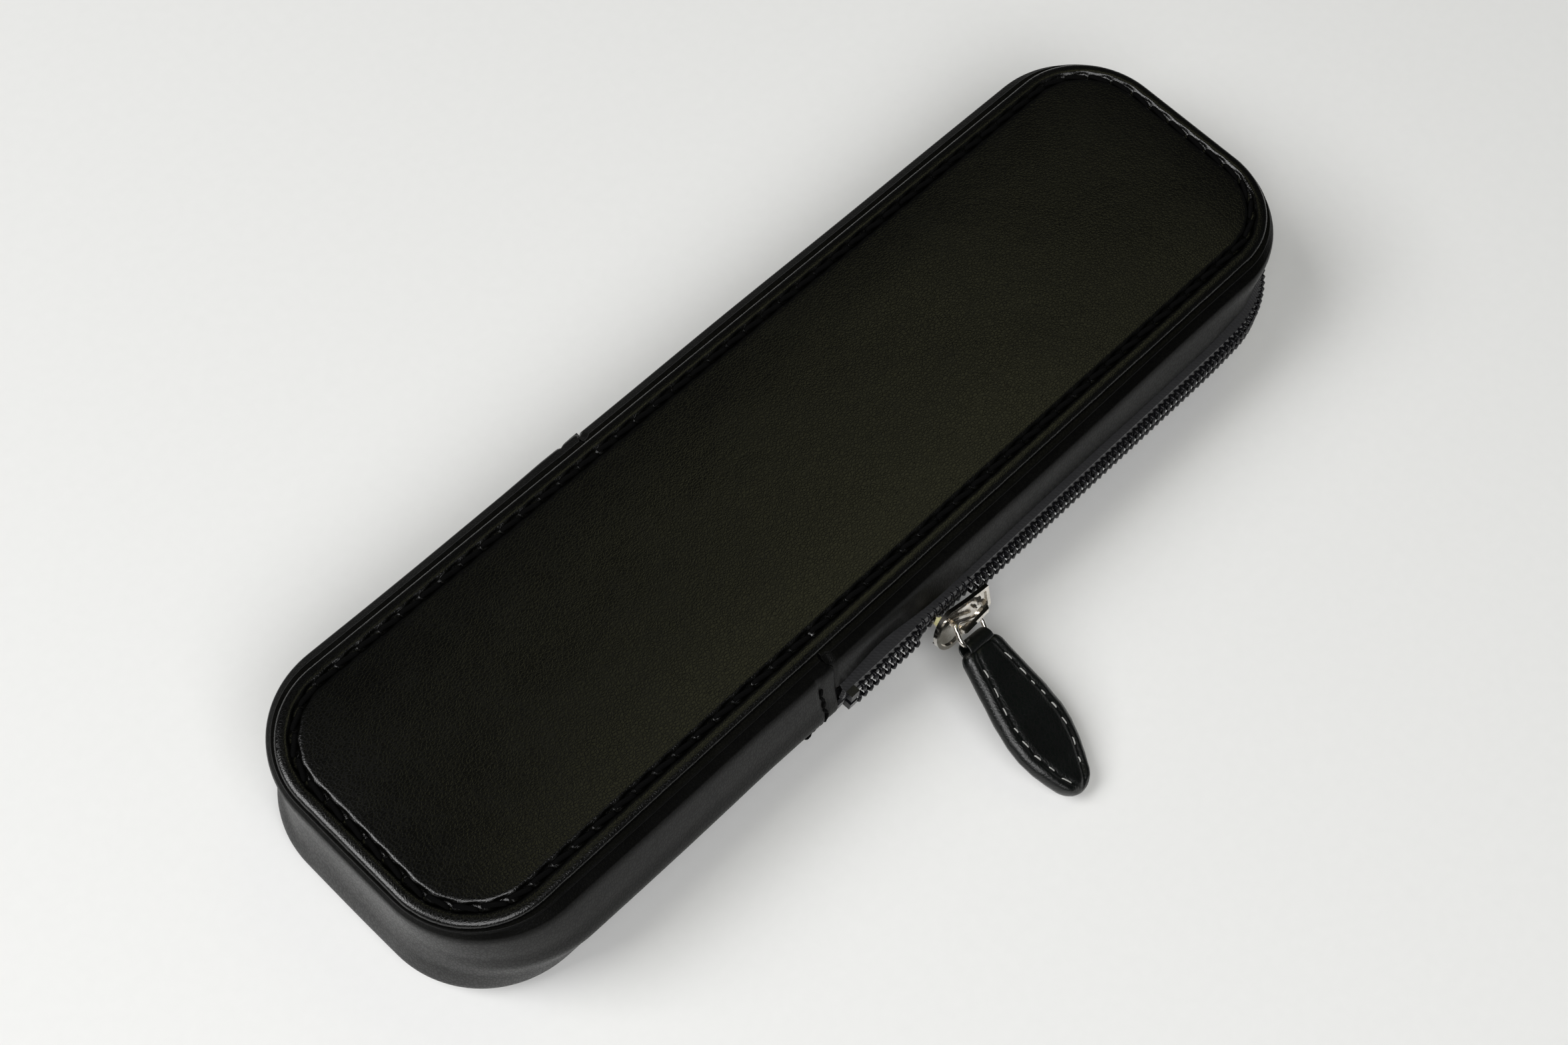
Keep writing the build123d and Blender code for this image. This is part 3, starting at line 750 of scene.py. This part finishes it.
def strip(name, upper, seed):
    """One leather strip along the zip, from under the gusset's edge round to its other side."""
    loops = []
    for end, side, z in strip_section():
        points, normals = half_loop(GUSSET_EDGE - STRIP_UNDER, end, side, 1)
        x, y = points.T
        outside = smooth(-1.0, 1.0, side)
        free = 1 - smooth(*FREE_HEIGHTS, z)
        shift = STRIP_UNEVEN * handmade(x, y, z, seed) * outside - tuck(x, y, z)
        shift -= STRIP_DIVE * (1 - smooth(GUSSET_EDGE, GUSSET_EDGE + STRIP_DIVE_WIDTH, x)) * outside
        shift += EDGE_SWAY * free * np.sin(x / 9.0 + seed) * outside
        if upper:
            front = smooth(0.0, 5.0, -y)
            shift -= DENT_DEPTH * bump(DENT_X, DENT_WIDTH, x) * free * front * outside
        points = points + normals * shift[:, None]
        height = z + EDGE_WAVE * free * np.sin(x / 13.0 + 2 * seed)
        if not upper:
            height = HEIGHT - height
        loops.append(np.column_stack([points, height]))
    return outward(loft(name, loops, through=True, ends=True))


TURNED_LIFT, TURNED_FADE = 0.22, (2.6, 16.0)  # how far the turned edge stands proud, and where that fades
END_SEAM, END_SEAM_BOW = 2.5, 0.075  # from the gusset's edge, and how much further for each mm off the middle
END_SEAM_DEPTH, END_SEAM_WIDTH = 0.3, 0.38
END_ROUND = 0.55  # radius of the turned edge
END_RECEDE, END_RECEDE_WIDTH = 1.3, 8.0  # how far the shoulders stay behind the edge, and over what distance
GUSSET_UNEVEN, GUSSET_UNEVEN_FROM = 0.12, (3.0, 8.0)
# The turned edge's shape comes on between these side bulges, and between these depths under a panel's face
SHAPED_BULGE, SHAPED_LEVELS = (-1.0, 0.6), (1.6, 3.2)
INSIDE_FROM = 2.3  # height above which a row set back from the wall is on its inside


def seam_offset(z):
    """Distance of the end seam from the gusset's edge at a height."""
    return END_SEAM + END_SEAM_BOW * np.abs(z - MIDDLE)


def gusset(name):
    """The leather round the hinge end, with its turned edges over the ends of the zip."""
    loops = []
    for end, side, z in gusset_section():
        points, normals = half_loop(GUSSET_EDGE, end, side, -1)
        x, y = points.T
        away = GUSSET_EDGE - x
        outside = smooth(*SHAPED_BULGE, side) if z > SHAPED_LEVELS[1] or side > 0 else 0.0
        face = smooth(*SHAPED_LEVELS, min(z, HEIGHT - z))
        if side < bulge_at(z)[1] - WALL_LEATHER / 2 and z > INSIDE_FROM:
            shift = np.zeros(len(x))
        else:
            rounding = np.sqrt(np.maximum(END_ROUND**2 - np.maximum(END_ROUND - away, 0) ** 2, 0))
            shift = TURNED_LIFT * (1 - smooth(*TURNED_FADE, away)) * face
            shift -= END_SEAM_DEPTH * bump(seam_offset(z), END_SEAM_WIDTH, away) * face
            shift -= (END_ROUND - rounding) * face
            shift += GUSSET_UNEVEN * handmade(x, y, z, 4.1) * smooth(*GUSSET_UNEVEN_FROM, away)
        points = points + normals * (shift * outside - tuck(x, y, z))[:, None]
        points[:, 0] -= END_RECEDE * (1 - face) * (1 - smooth(0.0, END_RECEDE_WIDTH, away)) * outside
        loops.append(np.column_stack([points, z * np.ones(len(points))]))
    return outward(loft(name, loops, through=True, ends=True))


ZIGZAG_HEIGHTS = np.arange(4.4, HEIGHT - 3.6, 1.55)[:-1]
ZIGZAG_RISE, ZIGZAG_LEAN = 1.35, 0.231  # of one stitch: how high it climbs, how far it leans each way
ZIGZAG_SINK = 0.22  # of its ends, into the turned edge
ZIGZAG_SPREAD = 0.04
ZIGZAG_RADIUS, ZIGZAG_ARCH = 0.24, 0.2
LOOSE_RADIUS, LOOSE_ARCH = 0.3, 0.25  # of the thread's loose end


def end_threads(name):
    """The zigzag stitches down the gusset's turned edges, and a loose thread end at the front's foot."""
    random = np.random.default_rng(21)
    stitches = []
    for way in (-1, 1):
        for number, z in enumerate(ZIGZAG_HEIGHTS):
            lean = ZIGZAG_LEAN if number % 2 else -ZIGZAG_LEAN
            ends = []
            for height, swing in ((z, -lean), (z + ZIGZAG_RISE, lean)):
                side = WIDTH / 2 + bulge_at(height)[1] + TURNED_LIFT - ZIGZAG_SINK
                wander = random.uniform(-ZIGZAG_SPREAD, ZIGZAG_SPREAD)
                x = GUSSET_EDGE - float(seam_offset(height)) + swing + wander
                ends.append((x, way * side, height))
            stitches.append(stitch_tube(*ends, (0, way, 0), ZIGZAG_RADIUS, ZIGZAG_ARCH))
    foot = ZIGZAG_HEIGHTS[0] - 0.5
    x = GUSSET_EDGE - float(seam_offset(foot)) - 0.1
    y = -(WIDTH / 2 + bulge_at(foot)[1] + TURNED_LIFT - 0.1)
    ends = ((x - 0.5, y, foot - 0.15), (x + 0.55, y, foot + 0.2))
    stitches.append(stitch_tube(*ends, (0, -1, 0), LOOSE_RADIUS, LOOSE_ARCH))
    return join_tubes(name, stitches)


upper_strip = dress(strip("zip_strip_upper_skin", True, 1.3), "wall_leather")
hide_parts("zip_strip_upper")
bend_with_lid(upper_strip)

lower_strip = dress(strip("zip_strip_lower_skin", False, 3.1), "wall_leather")
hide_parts("zip_strip_lower")
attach(lower_strip, "case_base")

gusset_skin = dress(gusset("hinge_gusset_skin"), "wall_leather")
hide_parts("hinge_gusset")
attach(gusset_skin, "case_base")

gusset_stitches = dress(end_threads("gusset_end_stitches"), "black_thread")
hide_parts("gusset_end_threads")
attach(gusset_stitches, "case_base")

# ---- zip coils ----

COIL_WIRE = 0.27  # radius
COIL_WIRE_GAP = 0.1  # from the coil's foot to the wire's middle there
COIL_FACE, COIL_BACK = 0.3, 1.35  # from the coil's outer face to the wire's middle, in front and behind
COIL_TUCK_SHARE = 0.8  # of the wall's tuck
COIL_LEAN = 0.42  # of a turn, as a share of the pitch
# The two rows begin to mesh at the first place and are fully meshed from the second
MESHED = (SLIDER_END - 9.0, SLIDER_END - 4.0)
HEAD = 0.62  # how much further a head reaches where the rows mesh
HEAD_HEIGHT = 0.35
PRESSED = 1.0  # how far the rows are pressed in behind the slider
PRESSED_FROM = (SLIDER_START - 1.5, SLIDER_START + 0.5)
PRESSED_TO = (SLIDER_END - 2, SLIDER_END + 0.5)


def coil_turn(top):
    """Depth and height of the points of one turn of the coil's wire, whose head reaches to top."""
    low = COIL_LOW + COIL_WIRE_GAP
    rows = [(COIL_BACK, low), (COIL_FACE + 0.25, low - 0.02)]
    rows += [(COIL_FACE, low + 0.25), (COIL_FACE, top - 0.55)]
    half = (COIL_BACK - 0.3 - COIL_FACE) / 2
    for a in np.linspace(0, math.pi, 7):
        rows.append((COIL_FACE + half - half * math.cos(a), top - HEAD_HEIGHT + HEAD_HEIGHT * math.sin(a)))
    return rows + [(COIL_BACK - 0.2, low + 0.3)]


def coil(name, upper):
    """One row of the zip's coil: a wire loop at each turn, whose head reaches further where the rows mesh."""
    points, normals = half_loop(COIL_START, COIL_END_BULGE, COIL_SIDE_BULGE, 1)
    along = distance_along(points)
    turns = []
    for number in range(int(along[-1] / COIL_PITCH)):
        # The two rows' turns stand half a pitch apart
        distance = (number + (0.75 if upper else 0.25)) * COIL_PITCH
        at = np.array([np.interp(distance, along, points[:, k]) for k in (0, 1)])
        out = np.array([np.interp(distance, along, normals[:, k]) for k in (0, 1)])
        out /= np.linalg.norm(out)
        tangent = np.array([-out[1], out[0]])
        pressed = smooth(*PRESSED_FROM, at[0]) - smooth(*PRESSED_TO, at[0]) if at[1] < 0 else 0.0
        at = at - out * (COIL_TUCK_SHARE * tuck(*at, MIDDLE) + PRESSED * pressed)
        # Along the back the zip is closed all the way
        meshed = 1.0 if at[1] > 0 else smooth(*MESHED, at[0])
        rows = coil_turn(COIL_HIGH - 0.05 + HEAD * meshed - COIL_WIRE)
        path = []
        for step, (depth, z) in enumerate(rows):
            lean = (step / (len(rows) - 1) - 0.35) * COIL_PITCH * COIL_LEAN
            x, y = at - out * depth + tangent * lean
            path.append((x, y, HEIGHT - z if upper else z))
        turns.append(tube_rows(path, (COIL_WIRE, COIL_WIRE), (*tangent, 0.001)))
    return join_tubes(name, turns)


for half, body in (("lower", "case_base"), ("upper", "lid")):
    turns = dress(coil(f"coil_{half}", half == "upper"), "nylon_coil")
    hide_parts(f"zip_coil_{half}")
    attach(turns, body)

# ---- leather pull ----

BAR = joint_place("pull_swing")
TAB_ROLL, TAB_DIP, TAB_SWING = (math.radians(angle) for angle in (13.0, 21.2, -5.0))
# Half width of the pull at distances from the ring's bar
TAB_WIDTHS = [(0.2, 2.9), (0.9, 3.7), (1.7, 4.1), (4.0, 4.5), (7.5, 5.15), (11.0, 5.8), (14.7, 6.2)]
TAB_WIDTHS += [(17.5, 6.0), (20.0, 5.35), (22.5, 4.35), (24.5, 3.3), (25.6, 2.4), (26.2, 1.6), (26.5, 0.9)]
TAB_WIDTHS += [(26.58, 0.1)]
TAB_WIDTHS = np.array(TAB_WIDTHS)
# Where the pull's loops stand: close together at both ends
TAB_LOOPS = [0.25, 0.5, 0.8, 1.2, *np.linspace(1.7, 25.5, 64), 25.9, 26.2, 26.4, 26.52, 26.58]
TAB_START, TAB_TIP = 0.2, 26.6
TAB_START_ROUND, TAB_TIP_ROUND = 0.7, 1.6  # over what length the leaf thins to its start and to its tip
TAB_THINNEST = 0.02
TAB_SIDE_STEPS = 32  # across one face
TAB_HALF_THICK = 1.28
TAB_PADDING = 0.1
TAB_RIM = 0.72  # share of the half width where the rolled rim begins
TAB_CHANNEL, TAB_CHANNEL_WIDTH = 0.24, 0.42  # the sewn channel's depth and width
TAB_STITCH_INSET = 2.0
TAB_STITCHED = (3.6, 24.4)
# The hand-sewn stitches: lengths, gaps between them, radii, how far an end strays sideways, and rise
TAB_STITCH_LENGTHS, TAB_STITCH_GAPS, TAB_STITCH_RADII = (0.7, 1.5), (1.2, 2.1), (0.1, 0.15)
TAB_STITCH_STRAY, TAB_STITCH_ARCH = 0.16, 0.1

# The strap round the ring's bar: from and to which angle it turns, its radius, and half its thickness
LOOP_TURN = (math.radians(50), math.radians(310))
LOOP_RADIUS, LOOP_HALF_THICK = 1.24, 0.17
LOOP_HALF_WIDTHS, LOOP_WIDE_AT = (2.3, 2.7), 2.3  # at its far side, and at this angle from there
LOOP_ROWS, LOOP_SIDES = 22, 20


def tab_axes():
    """Across, along and outward directions of the pull, hanging from the ring's bar."""
    level_reach = math.cos(TAB_DIP)
    x, y = math.sin(TAB_SWING) * level_reach, -math.cos(TAB_SWING) * level_reach
    along = Vector((x, y, -math.sin(TAB_DIP)))
    level = Vector((0, 0, 1)).cross(along).normalized()
    across = level * math.cos(TAB_ROLL) - along.cross(level) * math.sin(TAB_ROLL)
    return (np.array(v) for v in (across, along, across.cross(along)))


TAB_ACROSS, TAB_ALONG, TAB_OUT = tab_axes()


def on_tab(across, along, out):
    """A point of the pull in the row frame."""
    return BAR + across * TAB_ACROSS + along * TAB_ALONG + out * TAB_OUT


def tab_half_width(along):
    """The pull's half width at a distance from the ring's bar."""
    return np.interp(along, TAB_WIDTHS[:, 0], TAB_WIDTHS[:, 1])


def tab_thickness(share, inset):
    """Half thickness at a share of the half width: a rolled rim, a sewn channel and a padded middle."""
    rim = np.sqrt(np.clip(1 - np.clip((share - TAB_RIM) / (1 - TAB_RIM), 0, 1) ** 2, 0, 1))
    channel = TAB_CHANNEL * bump(TAB_STITCH_INSET, TAB_CHANNEL_WIDTH, inset)
    return (TAB_HALF_THICK - channel + TAB_PADDING * (1 - share**2)) * rim


def rounded(value, power):
    """A value between -1 and 1 raised to a power, with its sign kept."""
    return math.copysign(abs(value) ** power, value)


def pull_leather(name):
    """The pull: a padded leaf of folded leather with rolled edges."""
    loops = []
    over = np.linspace(-1, 1, TAB_SIDE_STEPS + 1)
    sides = [(1, share) for share in over] + [(-1, share) for share in over[::-1][1:-1]]
    for along in TAB_LOOPS:
        half = tab_half_width(along)
        reach = min(1.0, (along - TAB_START) / TAB_START_ROUND, (TAB_TIP - along) / TAB_TIP_ROUND)
        thinning = math.sqrt(max(TAB_THINNEST, reach))
        ripple = 1 + 0.03 * math.sin(along * 1.3)
        ring = []
        for face, even_share in sides:
            share = rounded(even_share, 0.8)
            thick = tab_thickness(abs(share), half * (1 - abs(share))) * thinning
            sway = 0.027 * math.sin(along / 3.1 + share) + 0.018 * math.sin(along * 0.9 + 2.3 * share)
            ring.append(on_tab(share * half, along, face * thick * ripple + sway))
        loops.append(np.array(ring))
    return outward(loft(name, loops, around=True, ends=True))


def pull_loop(name):
    """The strap of leather that folds round the ring's bar."""
    rows = []
    for angle in np.linspace(*LOOP_TURN, LOOP_ROWS):
        width = np.interp(abs(angle - math.pi), (0, LOOP_WIDE_AT), LOOP_HALF_WIDTHS)
        ring = []
        for corner in np.linspace(0, 2 * math.pi, LOOP_SIDES, endpoint=False):
            across = width * rounded(math.cos(corner), 0.35)
            radius = LOOP_RADIUS + LOOP_HALF_THICK * rounded(math.sin(corner), 0.6)
            ring.append(on_tab(across, radius * math.cos(angle), radius * math.sin(angle)))
        rows.append(np.array(ring))
    return outward(loft(name, rows, around=True, ends=True))


def pull_stitches(name):
    """The pull's broken white stitches, a row down each side on both faces."""
    random = np.random.default_rng(5)
    stitches = []
    first, last = TAB_STITCHED
    for face, way in ((1, -1), (1, 1), (-1, -1), (-1, 1)):
        along = first
        while along < last:
            length = random.uniform(*TAB_STITCH_LENGTHS)
            ends = []
            for distance in (along, along + length):
                half = tab_half_width(distance)
                across = max(half - TAB_STITCH_INSET, 0.05)
                out = tab_thickness(across / half, TAB_STITCH_INSET) + 0.03
                across += random.uniform(-TAB_STITCH_STRAY, TAB_STITCH_STRAY)
                ends.append(on_tab(way * across, distance, face * out))
            radius = random.uniform(*TAB_STITCH_RADII)
            stitches.append(stitch_tube(*ends, face * TAB_OUT, radius, TAB_STITCH_ARCH))
            along += length + random.uniform(*TAB_STITCH_GAPS)
    return join_tubes(name, stitches)


tab = dress(pull_leather("pull_tab_skin"), "pull_leather")
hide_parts("pull_tab_leather", "pull_tab_core")
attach(tab, "pull")
tab_loop = dress(pull_loop("pull_tab_loop"), "pull_leather")
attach(tab_loop, "pull")
tab_stitches = dress(pull_stitches("pull_tab_stitches"), "white_thread")
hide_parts("pull_tab_stitching")
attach(tab_stitches, "pull")

# ---- the frame's own pieces that show ----

BEVELS = {"slider_body": 0.14, "slider_bridge": 0.12, "zip_stops_lower": 0.2, "zip_stops_upper": 0.2}
BEVEL_STEPS = 3
BEVEL_FROM = math.radians(35)  # edges that turn less stay as they are

for row in frame["record"]["subparts"]:
    node = frame["nodes"][row["node"]]
    if node.hide_render:
        continue
    dress(node, row["material_slot"])
    if row["node"] in BEVELS:
        bevel = node.modifiers.new("edges", "BEVEL")
        bevel.width = BEVELS[row["node"]] * MM
        bevel.segments = BEVEL_STEPS
        bevel.limit_method = "ANGLE"
        bevel.angle_limit = BEVEL_FROM
        bevel.harden_normals = True

# ---- floor, light and camera ----

FLOOR_HALF = 3000
floor_corners = [(x * FLOOR_HALF, y * FLOOR_HALF, 0) for x, y in ((-1, -1), (1, -1), (1, 1), (-1, 1))]
floor = make_mesh("floor", floor_corners, [[0, 1, 2, 3]])
floor.data.materials.append(paper("floor_paper"))

# Lights and camera are placed in metres and degrees; the camera is fitted to the photograph
LIGHTS_LOOK_AT = Vector((-0.0114, -0.006, HEIGHT * MM))
CAMERA_LOOKS_AT = Vector((-0.01136, -0.00598, HEIGHT * MM))
CAMERA_AZIMUTH, CAMERA_ELEVATION, CAMERA_ROLL = -55.29, 61.11, 10.54
CAMERA_DISTANCE = 0.3592
CAMERA_LENS, CAMERA_SENSOR = 58.43, 36.0  # in millimetres


def direction(azimuth, elevation):
    """A unit vector that points from the case towards a place round it; azimuth 0 is towards -Y."""
    a, e = math.radians(azimuth), math.radians(elevation)
    return Vector((math.sin(a) * math.cos(e), -math.cos(a) * math.cos(e), math.sin(e)))


def area_light(name, azimuth, elevation, distance, size, power, colour=(1, 1, 1)):
    """A soft rectangular light that looks at the case."""
    data = bpy.data.lights.new(name, "AREA")
    data.shape = "RECTANGLE"
    data.size, data.size_y = size
    data.energy = power
    data.color = colour
    lamp = bpy.data.objects.new(name, data)
    way = direction(azimuth, elevation)
    lamp.location = LIGHTS_LOOK_AT + way * distance
    lamp.rotation_mode = "QUATERNION"
    lamp.rotation_quaternion = (-way).to_track_quat("-Z", "Y")
    bpy.context.scene.collection.objects.link(lamp)


area_light("key", -120.0, 46.0, 1.4, (0.8, 0.8), 14.5)
area_light("front", -38.0, 52.0, 1.3, (1.0, 0.8), 12.0)
area_light("reflector", 106.5, 64.7, 1.237, (0.44, 0.55), 0.43, (1.0, 0.99, 0.55))

world = bpy.data.worlds.new("studio")
bpy.context.scene.world = world
world.use_nodes = True
world.node_tree.nodes["Background"].inputs["Color"].default_value = rgb(0.95, 0.97, 1.0)
world.node_tree.nodes["Background"].inputs["Strength"].default_value = 0.04
bpy.context.scene.view_settings.view_transform = "Standard"

camera_data = bpy.data.cameras.new("camera")
camera_data.lens = CAMERA_LENS
camera_data.sensor_width = CAMERA_SENSOR
camera_data.clip_start, camera_data.clip_end = 0.01, 20.0
camera = bpy.data.objects.new("camera", camera_data)
bpy.context.scene.collection.objects.link(camera)
bpy.context.scene.camera = camera
towards_camera = direction(CAMERA_AZIMUTH, CAMERA_ELEVATION)
roll = Matrix.Rotation(math.radians(CAMERA_ROLL), 3, "Z").to_quaternion()
camera.location = CAMERA_LOOKS_AT + towards_camera * CAMERA_DISTANCE
camera.rotation_mode = "QUATERNION"
camera.rotation_quaternion = (-towards_camera).to_track_quat("-Z", "Y") @ roll
